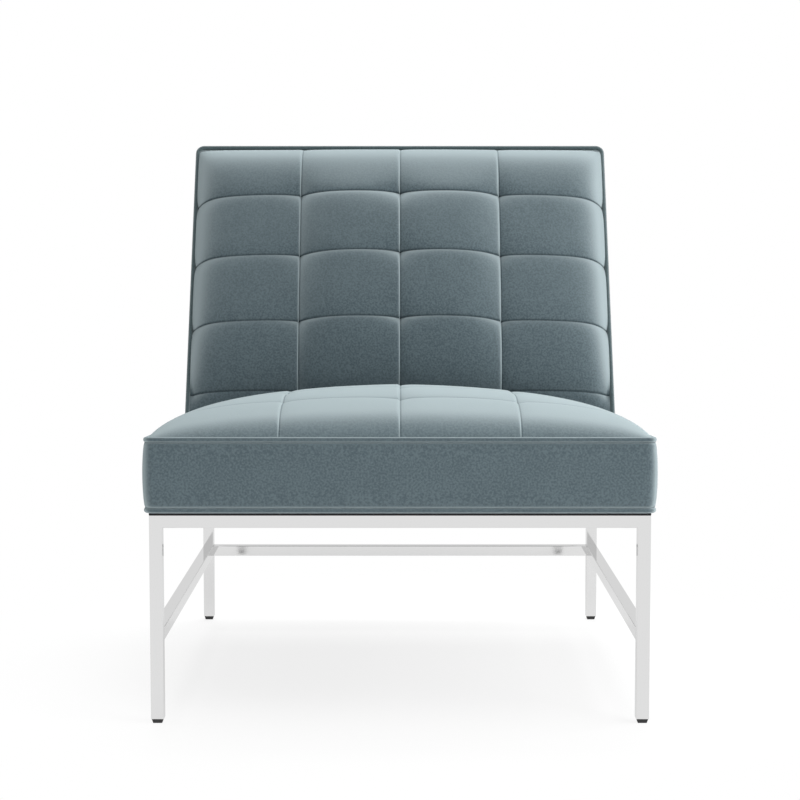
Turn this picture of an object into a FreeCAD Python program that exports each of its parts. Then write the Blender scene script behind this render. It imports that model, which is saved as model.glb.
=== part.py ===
import FreeCAD, Part
import math
import os

import Sketcher
from FreeCAD import Rotation, Vector

# Upholstered lounge chair without arms: a polished square-tube base that carries
# a tufted seat and a tufted, leaning back. Millimetres, +Z up, the front faces -Y,
# and the origin is on the floor under the middle of the chair.

doc = FreeCAD.newDocument("upholstered_chair")
sheet = doc.addObject("Spreadsheet::Sheet", "dims")
sheet_rows = []


class Size:
    """A length or angle, with the spreadsheet expression that gives it."""

    def __init__(self, value, text):
        self.value = float(value)
        self.text = text

    def __float__(self):
        return self.value

    def __neg__(self):
        return Size(-self.value, f"(-{self.text})")

    def __add__(self, other):
        return Size(self.value + float(other), f"({self.text} + {text_of(other)})")

    def __radd__(self, other):
        return Size(float(other) + self.value, f"({text_of(other)} + {self.text})")

    def __sub__(self, other):
        return Size(self.value - float(other), f"({self.text} - {text_of(other)})")

    def __rsub__(self, other):
        return Size(float(other) - self.value, f"({text_of(other)} - {self.text})")

    def __mul__(self, other):
        return Size(self.value * float(other), f"({self.text} * {text_of(other)})")

    __rmul__ = __mul__

    def __truediv__(self, other):
        return Size(self.value / float(other), f"({self.text} / {text_of(other)})")


def text_of(number):
    return number.text if isinstance(number, Size) else repr(float(number))


def size(alias, value, meaning):
    """Write one driving dimension into the sheet and hand it back."""
    row = len(sheet_rows) + 1
    sheet_rows.append(alias)
    sheet.set(f"A{row}", meaning)
    sheet.set(f"B{row}", str(value))
    sheet.setAlias(f"B{row}", alias)
    return Size(value, f"dims.{alias}")


# Steel base
frame_width = size("frame_width", 730.0, "outside width over the legs")
frame_depth = size("frame_depth", 800.0, "outside depth over the legs")
tube_side = size("tube_side", 19.0, "side of the square tube")
tube_wall = size("tube_wall", 1.5, "wall of the square tube")
tube_edge = size("tube_edge", 1.2, "outer edge radius of the square tube")
rail_top = size("rail_top", 308.0, "top of the top rails above the floor")
stretcher_top = size("stretcher_top", 139.0, "top of the stretchers above the floor")
glide_height = size("glide_height", 6.5, "height of a glide under its leg")
glide_top = size("glide_top", 17.0, "side of a glide where it meets the leg")
glide_foot = size("glide_foot", 13.0, "side of a glide on the floor")
plug_length = size("plug_length", 20.0, "length of a glide's plug in the leg")
plug_gap = size("plug_gap", 0.3, "clearance round the plug")
tab_leg = size("tab_leg", 95.0, "side of a corner tab along each rail")
tab_thick = size("tab_thick", 4.0, "thickness of a corner tab")
tab_hole_in = size("tab_hole_in", 36.0, "tab hole from each rail's inner face")
washer_side = size("washer_side", 16.0, "side of a felt washer")
screw_diameter = size("screw_diameter", 6.0, "shank of a mounting screw")
screw_length = size("screw_length", 32.0, "shank length of a mounting screw")
screw_head = size("screw_head", 12.0, "head of a mounting screw over its corners")
screw_head_thick = size("screw_head_thick", 3.5, "head height of a mounting screw")
screw_gap = size("screw_gap", 0.5, "radial clearance of a screw or bolt in its hole")
pilot_gap = size("pilot_gap", 0.05, "radial clearance of a screw or bolt in the wood it bites")

# Soft parts, outside sizes
felt_thick = size("felt_thick", 3.5, "felt strip between rail and seat")
side_overhang = size("side_overhang", 7.5, "seat and back beyond the legs on each side")
front_overhang = size("front_overhang", 10.7, "seat front ahead of the legs")
rear_overhang = size("rear_overhang", 8.0, "foot of the back behind the legs")
welt_diameter = size("welt_diameter", 8.0, "thickness of the welt cord")
fit_gap = size("fit_gap", 0.25, "clearance between soft pieces")
seat_corner = size("seat_corner", 14.0, "radius of the seat's front corners")
back_corner = size("back_corner", 15.0, "radius of the back's top corners")
rear_corner = size("rear_corner", 6.0, "radius of the base welt at its rear corners")
boxing_inset = size("boxing_inset", 1.0, "boxing behind its welts' outer line, at the welts")
side_bulge = size("side_bulge", 3.0, "boxing beyond its welts' outer line, between the welts")
seat_thick = size("seat_thick", 107.5, "seat's front from the felt to its top welt")
seat_slope_angle = size("seat_slope_angle", 3.0, "fall of the seat towards the back, degrees")
seat_crown = size("seat_crown", 73.0, "height of the seat's crown over its welt")
back_lean_angle = size("back_lean_angle", 25.95, "lean of the back's front from upright, degrees")
back_setback = size("back_setback", 245.0, "back's front ahead of the rear legs, at the crease")
crease_height = size("crease_height", 86.5, "crease of seat and back above the felt")
back_rise = size("back_rise", 531.0, "back's front above the crease, along its lean")
back_top_thick = size("back_top_thick", 95.0, "thickness of the back at its top")
back_crown = size("back_crown", 78.0, "height of the back's crown over its welt")
column_pitch = size("column_pitch", 176.0, "distance between the upright seams")
row_pitch = size("row_pitch", 120.0, "distance between the cross seams")
lowest_row = size("lowest_row", 45.0, "back's lowest cross seam above the crease")
first_row = size("first_row", 115.5, "seat's first cross seam behind its front edge")
seam_dip_reach = size("seam_dip_reach", 50.0, "half width of the dip at a cross seam")
shoulder = size("shoulder", 52.0, "width of a crown's steep side")
top_reach = size("top_reach", 38.0, "how quickly the back's crown rises from its top")
front_reach = size("front_reach", 51.0, "how quickly the seat's crown rises from its front")
seat_crease_reach = size("seat_crease_reach", 50.0, "how quickly the seat's crown leaves the crease")
back_crease_reach = size("back_crease_reach", 70.0, "how quickly the back's crown leaves the crease")

# Wooden frames inside
wood_thick = size("wood_thick", 22.0, "thickness of the seat's wooden rails")
seat_padding = size("seat_padding", 51.0, "from the seat's wooden rails to its front welt")
bolt_setback = size("bolt_setback", 30.0, "first back bolt behind the cheek's front foot")
bolt_pitch = size("bolt_pitch", 75.0, "distance between a cheek's two bolts")
cheek_thick = size("cheek_thick", 18.0, "thickness of the back's side cheeks")
front_padding = size("front_padding", 34.0, "padding in front of the back's frame")
top_padding = size("top_padding", 24.0, "padding over the back's frame")
panel_thick = size("panel_thick", 6.0, "thickness of the rear panel")
back_rail_height = size("back_rail_height", 60.0, "height of the back's cross rails")
webbing_width = size("webbing_width", 60.0, "width of a webbing band")
webbing_thick = size("webbing_thick", 2.0, "thickness of a webbing band")
webbing_end = size("webbing_end", 4.0, "from a band's end to the wooden frame's outer face")
block_leg = size("block_leg", 90.0, "side of a corner block")
block_height = size("block_height", 40.0, "height of a corner block")
dust_thick = size("dust_thick", 1.0, "thickness of the dust cover")
bolt_diameter = size("bolt_diameter", 8.0, "shank of a back bolt")
bolt_bite = size("bolt_bite", 16.0, "depth of a back bolt in the side rail")
bolt_head = size("bolt_head", 16.0, "head of a back bolt over its corners")
bolt_head_thick = size("bolt_head_thick", 5.0, "head height of a back bolt")
doc.recompute()

# Values that follow from the sizes above
half_frame = frame_width / 2
half_cushion = half_frame + side_overhang
welt_radius = welt_diameter / 2
inset = welt_diameter + fit_gap
felt_top = rail_top + felt_thick
base_top = felt_top + inset
seat_front_height = felt_top + seat_thick
wood_height = seat_thick - seat_padding
back_foot = frame_depth - back_setback
back_mark = felt_top + crease_height
inner_x = half_frame - tube_side
lean = math.radians(float(back_lean_angle))
along_back = Vector(0, math.sin(lean), math.cos(lean))
out_of_back = Vector(0, -math.cos(lean), math.sin(lean))
back_origin = Vector(0, float(back_foot), float(back_mark))
slope = math.radians(float(seat_slope_angle))
along_seat = Vector(0, math.cos(slope), -math.sin(slope))
out_of_seat = Vector(0, math.sin(slope), math.cos(slope))
seat_origin = Vector(0, -float(front_overhang), float(seat_front_height))
rear_foot = Vector(0, float(frame_depth + rear_overhang), float(felt_top))
top_front = back_origin + along_back * float(back_rise)
top_rear = top_front - out_of_back * float(back_top_thick)
along_rear = (top_rear - rear_foot).normalize()
out_of_rear = Vector(0, along_rear.z, -along_rear.y)
rear_extreme = top_rear.y + float(welt_radius) * (1 - along_rear.y)
front_extreme = -float(front_overhang) - float(side_bulge)
middle_y = (rear_extreme + front_extreme) / 2

nodes = []


def finished(thing, label):
    """Name a sub-part and list it among those that are written out."""
    thing.Label = label
    nodes.append(thing)


def bind(thing, prop, number):
    thing.setExpression(prop, text_of(number))


def part_feature(label, shape):
    """A sub-part whose shape is set here, then placed."""
    thing = doc.addObject("Part::Feature", label)
    thing.Shape = shape
    thing.Placement = FreeCAD.Placement(Vector(0, -middle_y, 0), Rotation())
    finished(thing, label)
    return thing


def placed(thing, x, y, z):
    """Bind where a parametric sub-part stands; y counts from the legs' front."""
    bind(thing, "Placement.Base.x", x)
    bind(thing, "Placement.Base.y", y - middle_y)
    bind(thing, "Placement.Base.z", z)


def plane_of(body, role):
    return [item for item in body.Origin.OriginFeatures if item.Role == role][0]


def add_outline(body, name, role, outlines, circles=()):
    """A sketch of closed outlines whose corners are pinned from the origin."""
    sketch = body.newObject("Sketcher::SketchObject", name)
    sketch.AttachmentSupport = [(plane_of(body, role), "")]
    sketch.MapMode = "FlatFace"
    for corners in outlines:
        first = sketch.GeometryCount
        count = len(corners)
        for k in range(count):
            start = corners[k]
            end = corners[(k + 1) % count]
            line = Part.LineSegment(Vector(float(start[0]), float(start[1]), 0),
                                    Vector(float(end[0]), float(end[1]), 0))
            sketch.addGeometry(line)
        for k in range(count):
            geo = first + k
            following = first + (k + 1) % count
            sketch.addConstraint(Sketcher.Constraint("Coincident", geo, 2, following, 1))
            for kind, number in zip(("DistanceX", "DistanceY"), corners[k]):
                index = sketch.addConstraint(
                    Sketcher.Constraint(kind, -1, 1, geo, 1, float(number)))
                if isinstance(number, Size):
                    sketch.setExpression(f"Constraints[{index}]", number.text)
    for x, y, radius in circles:
        centre = Vector(float(x), float(y), 0)
        geo = sketch.addGeometry(Part.Circle(centre, Vector(0, 0, 1), float(radius)))
        for kind, number in (("DistanceX", x), ("DistanceY", y)):
            index = sketch.addConstraint(
                Sketcher.Constraint(kind, -1, 1, geo, 3, float(number)))
            sketch.setExpression(f"Constraints[{index}]", text_of(number))
        index = sketch.addConstraint(Sketcher.Constraint("Radius", geo, float(radius)))
        sketch.setExpression(f"Constraints[{index}]", text_of(radius))
    return sketch


def square(side):
    half = side / 2
    return [(-half, -half), (half, -half), (half, half), (-half, half)]


# Square tubes of the base
def square_tube(label, length, place, turn=None, mitres=()):
    """A hollow tube along its own Z, with rounded long edges and mitred ends."""
    body = doc.addObject("PartDesign::Body", label)
    section = add_outline(body, label + "_section", "XY_Plane",
                          [square(tube_side), square(tube_side - 2 * tube_wall)])
    pad = body.newObject("PartDesign::Pad", label + "_pad")
    pad.Profile = section
    bind(pad, "Length", length)
    section.Visibility = False
    doc.recompute()
    half = float(tube_side) / 2
    corners = []
    for k, edge in enumerate(pad.Shape.Edges):
        middle = edge.CenterOfMass
        if abs(abs(middle.x) - half) < 0.01 and abs(abs(middle.y) - half) < 0.01:
            corners.append(f"Edge{k + 1}")
    fillet = body.newObject("PartDesign::Fillet", label + "_edges")
    fillet.Base = (pad, corners)
    bind(fillet, "Radius", tube_edge)
    body.Tip = fillet
    doc.recompute()
    for number, (inner, far) in enumerate(mitres):
        end = length if far else Size(0, "0")
        tail = end - tube_side if far else end + tube_side
        side = tube_side / 2 * inner
        triangle = [(-side, end), (side, end), (side, tail)]
        sketch = add_outline(body, f"{label}_mitre_sketch{number}", "XZ_Plane", [triangle])
        before = body.Shape.Volume
        cut = body.newObject("PartDesign::Pocket", f"{label}_mitre{number}")
        cut.Profile = sketch
        cut.Type = "ThroughAll"
        cut.Midplane = True
        body.Tip = cut
        doc.recompute()
        if body.Shape.Volume > before - 1:
            raise RuntimeError(f"the mitre of {label} cuts nothing")
    if turn is not None:
        body.Placement = FreeCAD.Placement(Vector(), turn)
    placed(body, *place)
    finished(body, label)
    return body


along_x = Rotation(Vector(0, 1, 0), 90)
along_y = Rotation(Vector(1, 0, 0), -90)
leg_length = rail_top - glide_height
leg_x = half_frame - tube_side / 2
front_y = tube_side / 2
rear_y = frame_depth - tube_side / 2
between_legs = frame_depth - 2 * tube_side
rail_z = rail_top - tube_side / 2
stretcher_z = stretcher_top - tube_side / 2

for end_name, y in (("front", front_y), ("rear", rear_y)):
    for side_name, sign in (("left", -1), ("right", 1)):
        square_tube(f"leg_{end_name}_{side_name}", leg_length,
                    (leg_x * sign, y, glide_height), mitres=[(-sign, True)])
    square_tube(f"top_rail_{end_name}", frame_width, (-half_frame, y, rail_z),
                along_x, [(1, False), (1, True)])
for side_name, sign in (("left", -1), ("right", 1)):
    square_tube(f"top_rail_{side_name}", between_legs,
                (leg_x * sign, tube_side + 0.0, rail_z), along_y)
    square_tube(f"stretcher_{side_name}", between_legs,
                (leg_x * sign, tube_side + 0.0, stretcher_z), along_y)
square_tube("stretcher_rear", frame_width - 2 * tube_side,
            (-inner_x, rear_y, stretcher_z), along_x)


def box(label, length, width, height, place):
    thing = doc.addObject("Part::Box", label)
    bind(thing, "Length", length)
    bind(thing, "Width", width)
    bind(thing, "Height", height)
    placed(thing, *place)
    return thing


# Glides: a tapered foot under the leg and a square plug inside it
def glide(label, x, y):
    foot = doc.addObject("Part::Wedge", label + "_foot")
    for prop, side in (("min", -glide_foot / 2), ("max", glide_foot / 2)):
        bind(foot, "X" + prop, side)
        bind(foot, "Z" + prop, side)
    for prop, side in (("min", -glide_top / 2), ("max", glide_top / 2)):
        bind(foot, "X2" + prop, side)
        bind(foot, "Z2" + prop, side)
    foot.Ymin = 0
    bind(foot, "Ymax", glide_height)
    foot.Placement = FreeCAD.Placement(Vector(), Rotation(Vector(1, 0, 0), 90))
    placed(foot, x, y, Size(0, "0"))
    plug_side = tube_side - 2 * tube_wall - 2 * plug_gap
    plug = box(label + "_plug", plug_side, plug_side, plug_length,
               (x - plug_side / 2, y - plug_side / 2, glide_height))
    whole = doc.addObject("Part::Fuse", label)
    whole.Base = foot
    whole.Tool = plug
    finished(whole, label)


for end_name, y in (("front", front_y), ("rear", rear_y)):
    for side_name, sign in (("left", -1), ("right", 1)):
        glide(f"glide_{end_name}_{side_name}", leg_x * sign, y)

# Felt strips on the top rails, flush with their faces
for side_name, y in (("front", Size(0, "0")), ("rear", frame_depth - tube_side)):
    strip = box(f"felt_{side_name}", frame_width, tube_side, felt_thick,
                (-half_frame, y, rail_top))
    finished(strip, f"felt_{side_name}")
for side_name, x in (("left", -half_frame), ("right", inner_x)):
    strip = box(f"felt_{side_name}", tube_side, between_legs, felt_thick,
                (x, tube_side + 0.0, rail_top))
    finished(strip, f"felt_{side_name}")

# Corner tabs, welded flush inside the top rails, each with one screw hole
hole_radius = screw_diameter / 2 + screw_gap
near_y = tube_side
far_y = frame_depth - tube_side


def tab(label, x_sign, y_edge, y_sign):
    body = doc.addObject("PartDesign::Body", label)
    corner = (Size(0, "0"), Size(0, "0"))
    outline = [corner, (-x_sign * tab_leg, Size(0, "0")), (Size(0, "0"), y_sign * tab_leg)]
    hole = (-x_sign * tab_hole_in, y_sign * tab_hole_in, hole_radius)
    sketch = add_outline(body, label + "_sketch", "XY_Plane", [outline], [hole])
    pad = body.newObject("PartDesign::Pad", label + "_pad")
    pad.Profile = sketch
    bind(pad, "Length", tab_thick)
    body.Tip = pad
    placed(body, inner_x * x_sign, y_edge + 0.0, rail_top - tab_thick)
    finished(body, label)


for end_name, y_edge, y_sign in (("front", near_y, 1), ("rear", far_y, -1)):
    for side_name, x_sign in (("left", -1), ("right", 1)):
        tab(f"tab_{end_name}_{side_name}", x_sign, y_edge, y_sign)

screw_spots = []
for y in (float(near_y + tab_hole_in), float(far_y - tab_hole_in)):
    for sign in (-1, 1):
        screw_spots.append(Vector(sign * float(inner_x - tab_hole_in), y, 0))


def at_spots(make, height):
    """The same small solid at each of the four corner tabs."""
    return Part.makeCompound([make(spot + Vector(0, 0, height)) for spot in screw_spots])


def hexagon(centre, axis, across_corners, thick):
    """A six-sided head that grows from its centre along a unit axis."""
    first = axis.cross(Vector(0, 1, 0)).normalize() * (across_corners / 2)
    corners = [centre + Rotation(axis, 60 * k).multVec(first) for k in range(6)]
    return Part.Face(Part.makePolygon(corners + corners[:1])).extrude(axis * thick)


def fastener(seat, axis, head_size, head_thick, diameter, length):
    """A hexagon head behind its seat and a round shank ahead of it, along a unit axis."""
    head = hexagon(seat, -axis, head_size, head_thick)
    return head.fuse(Part.makeCylinder(diameter / 2, length, seat, axis))


def screw(point):
    return fastener(point, Vector(0, 0, 1), float(screw_head), float(screw_head_thick),
                    float(screw_diameter), float(screw_length))


def upright_square(side, high, point):
    """A square bar that stands on a point at the middle of its foot."""
    return Part.makeBox(side, side, high, point - Vector(side / 2, side / 2, 0))


def washer(point):
    high = float(felt_thick - dust_thick)
    felt = upright_square(float(washer_side), high, point)
    return felt.cut(upright_square(2 * float(hole_radius), high, point))


part_feature("mounting_screws", at_spots(screw, float(rail_top - tab_thick)))
part_feature("felt_washers", at_spots(washer, float(rail_top)))

# Dust cover, stretched under the seat inside the ring of felt, with a square snipped out
# round each mounting screw
dust_half = inner_x - fit_gap
dust = Part.makeBox(2 * float(dust_half), float(between_legs - 2 * fit_gap),
                    float(dust_thick),
                    Vector(-float(dust_half), float(tube_side + fit_gap),
                           float(felt_top - dust_thick)))
for spot in screw_spots:
    dust = dust.cut(upright_square(2 * float(hole_radius), float(felt_top), spot))
part_feature("dust_cover", dust)

# Wooden seat frame: two long rails with three rails between them
wood_x = half_cushion - inset
wood_front = inset - front_overhang
wood_rear = frame_depth + rear_overhang - inset
wood_top = felt_top + wood_height


def on_back_plane(out, height):
    """The point of a plane parallel to the back's front, at a height above the floor."""
    start = back_origin + out_of_back * float(out)
    return start + along_back * ((float(height) - start.z) / along_back.z)


frame_front = float(welt_radius) + float(front_padding)
cheek_foot = on_back_plane(-frame_front, felt_top)
middle_rail_y = cheek_foot.y - float(wood_thick)
wood_length = wood_rear - wood_front
cross_length = 2 * (wood_x - wood_thick)
bolt_spots = [Vector(0, cheek_foot.y + float(bolt_setback + bolt_pitch * k),
                     float(felt_top + wood_height / 2)) for k in (0, 1)]


def bolt_hole(sign, point, radius, start, length):
    """A round bar across the chair, from start outwards on one side."""
    return Part.makeCylinder(radius, length, point + Vector(sign * start, 0, 0),
                             Vector(sign, 0, 0))


for side_name, sign in (("left", -1), ("right", 1)):
    inner_face = float(wood_x - wood_thick)
    start = Vector(min(sign * inner_face, sign * float(wood_x)), float(wood_front),
                   float(felt_top))
    rail = Part.makeBox(float(wood_thick), float(wood_length), float(wood_height), start)
    outer_front = [edge for edge in rail.Edges
                   if abs(edge.CenterOfMass.x - sign * float(wood_x)) < 0.01
                   and abs(edge.CenterOfMass.y - start.y) < 0.01]
    rail = rail.makeFillet(float(seat_corner - welt_diameter), outer_front)
    for spot in bolt_spots:
        rail = rail.cut(bolt_hole(sign, spot, float(bolt_diameter / 2 + pilot_gap), inner_face,
                                  float(bolt_bite + screw_gap)))
    part_feature(f"seat_rail_{side_name}", rail)
for side_name, y in (("front", wood_front), ("middle", Size(middle_rail_y, repr(middle_rail_y))),
                     ("rear", wood_rear - wood_thick)):
    rail = box(f"seat_rail_{side_name}", cross_length, wood_thick, wood_height,
               (-(wood_x - wood_thick), y, felt_top))
    finished(rail, f"seat_rail_{side_name}")

# Corner blocks that the mounting screws bite into
block_inner = float(wood_x - wood_thick)
block_front = float(wood_front + wood_thick)
block_rear = float(wood_rear - wood_thick)


def block(x_sign, x_edge, y_edge, y_sign):
    leg = float(block_leg)
    low = float(felt_top)
    corner = Vector(x_sign * x_edge, y_edge, low)
    face = Part.Face(Part.makePolygon([corner, corner - Vector(x_sign * leg, 0, 0),
                                       corner + Vector(0, y_sign * leg, 0), corner]))
    solid = face.extrude(Vector(0, 0, float(block_height)))
    pilot = float(screw_diameter / 2 + pilot_gap)
    for spot in screw_spots:
        hole = Part.makeCylinder(pilot, float(screw_length), spot + Vector(0, 0, float(rail_top)))
        solid = solid.cut(hole)
    return solid


blocks = []
for x_edge, y_edge, y_sign in ((block_inner, block_front, 1),
                               (block_inner - float(cheek_thick), block_rear, -1)):
    for x_sign in (-1, 1):
        blocks.append(block(x_sign, x_edge, y_edge, y_sign))
part_feature("corner_blocks", Part.makeCompound(blocks))

# Webbing of the seat: bands across, then bands from front to back on top of them
seat_bay = middle_rail_y - block_front


def bands(count, start, span, make):
    """Evenly spaced bands over one span."""
    pitch = span / count
    return Part.makeCompound([make(start + pitch * (k + 0.5)) for k in range(count)])


def cross_band(y):
    half = float(wood_x - webbing_end)
    return Part.makeBox(2 * half, float(webbing_width), float(webbing_thick),
                        Vector(-half, y - float(webbing_width) / 2, float(wood_top)))


def long_band(x):
    start = float(wood_front + webbing_end)
    end = middle_rail_y + float(wood_thick - webbing_end)
    return Part.makeBox(float(webbing_width), end - start, float(webbing_thick),
                        Vector(x - float(webbing_width) / 2, start,
                               float(wood_top + webbing_thick)))


part_feature("seat_webbing_across", bands(4, block_front, seat_bay, cross_band))
part_feature("seat_webbing_along", bands(5, -block_inner, 2 * block_inner, long_band))


# Boxed cores of seat and back
def ring(round_end, square_end, half_width, radius):
    """A flat outline between two ends, rounded at its corners on the first end."""
    run = (square_end - round_end).normalize()
    side = Vector(1, 0, 0) * half_width
    inward = radius * (1 - math.sqrt(0.5))
    left = round_end - side
    right = round_end + side
    step_x = Vector(radius, 0, 0)
    bend_x = Vector(inward, 0, 0)
    edges = [
        Part.LineSegment(square_end - side, left + run * radius),
        Part.Arc(left + run * radius, left + bend_x + run * inward, left + step_x),
        Part.LineSegment(left + step_x, right - step_x),
        Part.Arc(right - step_x, right - bend_x + run * inward, right + run * radius),
        Part.LineSegment(right + run * radius, square_end + side),
        Part.LineSegment(square_end + side, square_end - side),
    ]
    return Part.Wire([edge.toShape() for edge in edges])


def swell(share):
    """How much of the side bulge a height has, from 0 at one welt to 0 at the other."""
    return 4 * share * (1 - share)


def boxed(round_low, round_high, square_low, square_high, radius, steps=4):
    """A core lofted through outlines that swell between its two welts."""
    half_width = float(half_cushion - boxing_inset)
    outlines = []
    for k in range(steps + 1):
        share = k / steps
        bulge = float(boxing_inset + side_bulge) * swell(share)
        near = round_low + (round_high - round_low) * share
        far = square_low + (square_high - square_low) * share
        outward = (near - far).normalize() * bulge
        outlines.append(ring(near + outward, far, half_width + bulge, radius))
    return Part.makeLoft(outlines, True, True)


def wedge(front_out, rear_in, top_in, low, half_width):
    """The back's side shape, set in from its faces, as a prism across the chair."""
    a = on_back_plane(-front_out, low)
    top = back_origin + along_back * (float(back_rise) - top_in)
    b = top - out_of_back * front_out
    rear_start = rear_foot - out_of_rear * rear_in
    c_share = (b - rear_start).dot(out_of_rear) / out_of_back.dot(out_of_rear)
    c = b - out_of_back * c_share
    d = rear_start + along_rear * ((low - rear_start.z) / along_rear.z)
    shift = Vector(-half_width, 0, 0)
    points = [a + shift, b + shift, c + shift, d + shift, a + shift]
    return Part.Face(Part.makePolygon(points)).extrude(Vector(2 * half_width, 0, 0))


seat_face = seat_origin - out_of_seat * float(welt_radius + fit_gap)
seat_stop = welt_radius + fit_gap
low = float(base_top)
run_to_back = (on_back_plane(seat_stop, 0) - seat_face)
seat_end_share = run_to_back.dot(out_of_back) / along_seat.dot(out_of_back)
seat_rear_top = seat_face + along_seat * seat_end_share
seat_front_low = Vector(0, float(boxing_inset - front_overhang), low)
seat_front_top = seat_face + along_seat * float(boxing_inset)
seat_core = boxed(seat_front_low, seat_front_top, on_back_plane(seat_stop, low), seat_rear_top,
                  float(seat_corner))
hollow_top = float(wood_top + 2 * webbing_thick + fit_gap)
hollow_half = float(wood_x + fit_gap)
seat_hollow = Part.makeBox(2 * hollow_half, float(frame_depth), hollow_top,
                           Vector(-hollow_half, float(wood_front - fit_gap), 0))
part_feature("seat_core", seat_core.cut(seat_hollow))

face_in = float(welt_radius + fit_gap)
back_top_in = back_origin + along_back * float(back_rise - boxing_inset) - out_of_back * face_in
rear_face_foot = rear_foot - out_of_rear * face_in
rear_low = rear_face_foot + along_rear * ((low - rear_face_foot.z) / along_rear.z)
rear_share = (back_top_in - rear_face_foot).dot(out_of_rear) / out_of_back.dot(out_of_rear)
rear_top = back_top_in - out_of_back * rear_share
back_core = boxed(back_top_in, rear_top, on_back_plane(-face_in, low), rear_low,
                  float(back_corner))
inner_wedge = wedge(frame_front - float(fit_gap) - float(webbing_thick), 0.0,
                    float(top_padding) - float(fit_gap), 0.0, block_inner + float(fit_gap))
rail_zone = Part.makeBox(2 * hollow_half, float(frame_depth),
                         hollow_top, Vector(-hollow_half, 0, 0))
part_feature("back_core", back_core.cut(inner_wedge).cut(rail_zone))


# Tufted pads: crowned panels sewn in columns and rows. A pad's heights are shares of its
# crown at five places: the shoulder, the middle of the outer column, the outer seam, the
# middle of the inner column and the centre seam.
knee_in = 0.28
knee_height = 0.62
edge_stations = (0.0, 0.18, 0.55)
crease_stations = (0.0, 0.4)
seam_stations = (-0.6, 0.0, 0.6)
rim_share = 0.75


def edge_rise(distance, reach):
    """The share of the crown reached at a distance in from the welt."""
    return 1 - math.exp(-distance / reach)


def section(place, across, crown, half_width, heights, floor):
    """One cross section of a pad: a flat foot and a top of short arcs."""
    steep = float(shoulder)
    pitch = float(column_pitch)
    h_edge, h_outer, h_seam, h_inner, h_centre = [height * crown for height in heights]
    outer_x = half_width - steep
    knee_x = half_width - knee_in * steep
    rim = float(fit_gap)

    def spot(x, height):
        return place + Vector(x, 0, 0) + across * height

    def half(sign):
        return [
            Part.Arc(spot(sign * half_width, rim), spot(sign * knee_x, rim + knee_height * h_edge),
                     spot(sign * outer_x, rim + h_edge)),
            Part.Arc(spot(sign * outer_x, rim + h_edge),
                     spot(sign * (outer_x + pitch) / 2, rim + h_outer),
                     spot(sign * pitch, rim + h_seam)),
            Part.Arc(spot(sign * pitch, rim + h_seam), spot(sign * pitch / 2, rim + h_inner),
                     spot(0, rim + h_centre)),
        ]

    left = [arc.toShape() for arc in half(-1)]
    right = [arc.toShape() for arc in half(1)]
    right.reverse()
    foot = [Part.LineSegment(spot(half_width, rim), spot(half_width, -floor)).toShape(),
            Part.LineSegment(spot(half_width, -floor), spot(-half_width, -floor)).toShape(),
            Part.LineSegment(spot(-half_width, -floor), spot(-half_width, rim)).toShape()]
    return Part.Wire(left + right + foot)


def mix(first, second, share):
    return [a + (b - a) * share for a, b in zip(first, second)]


def pad(start, run, across, length, crown, reaches, seams, on_seam, between, corner):
    """A pad lofted along its run, dipping at each cross seam."""
    steep = float(shoulder)
    dip = float(seam_dip_reach)
    spots = {share * steep for share in edge_stations}
    spots |= {length - share * steep for share in crease_stations}
    for seam in seams:
        for share in seam_stations:
            spot = seam + share * dip
            if steep < spot < length - steep:
                spots.add(spot)
    sections = []
    rim_in = rim_share * float(welt_radius)
    inner_half = float(half_cushion - inset)
    round_in = float(corner - inset)
    floor = float(welt_radius + fit_gap)
    for v in sorted(spots):
        rise = min(edge_rise(v + rim_in, reaches[0]), edge_rise(length - v + rim_in, reaches[1]))
        near = min([abs(v - seam) for seam in seams])
        openness = min(1.0, near / dip)
        heights = mix(on_seam, between, math.sin(openness * math.pi / 2))
        half_width = inner_half
        if v < round_in:
            half_width -= round_in - math.sqrt(round_in ** 2 - (round_in - v) ** 2)
        sections.append(section(start + run * v, across, crown * rise, half_width,
                                heights, floor))
    return Part.makeLoft(sections, True, True)


back_on_seam = (0.59, 0.68, 0.61, 0.91, 0.80)
back_between = (0.64, 0.74, 0.72, 0.98, 1.00)
back_pad_start = back_origin + along_back * float(back_rise - inset)
back_pad_length = float(back_rise - inset)
back_seams = [back_pad_length - float(lowest_row + k * row_pitch) for k in range(4)]
back_pad = pad(back_pad_start, along_back * -1, out_of_back, back_pad_length,
               float(back_crown), (float(top_reach), float(back_crease_reach)), back_seams,
               back_on_seam, back_between, back_corner)
flap_low = on_back_plane(-(welt_radius + fit_gap), hollow_top)
flap_top = back_origin - out_of_back * float(welt_radius + fit_gap)
flap_half = float(half_cushion - inset)
flap_side = Vector(-flap_half, 0, 0)
flap_out = out_of_back * float(welt_diameter)
flap_points = [flap_low, flap_top, flap_top + flap_out,
               on_back_plane(welt_radius - fit_gap, hollow_top), flap_low]
flap = Part.Face(Part.makePolygon([point + flap_side for point in flap_points]))
flap = flap.extrude(Vector(2 * flap_half, 0, 0))
part_feature("back_pad", back_pad.fuse(flap))

seat_on_seam = (0.47, 0.69, 0.71, 0.90, 0.78)
seat_between = (0.51, 0.75, 0.83, 0.97, 0.98)
seat_pad_start = seat_origin + along_seat * float(inset)
seat_pad_length = seat_end_share - float(inset)
seat_seams = [float(first_row + k * row_pitch - inset) for k in range(4)]
seat_pad = pad(seat_pad_start, along_seat, out_of_seat, seat_pad_length, float(seat_crown),
               (float(front_reach), float(seat_crease_reach)), seat_seams, seat_on_seam,
               seat_between, seat_corner)
part_feature("seat_pad", seat_pad)


# Welts: a round cord along the edges of the panels
cord_sides = 10


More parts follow.
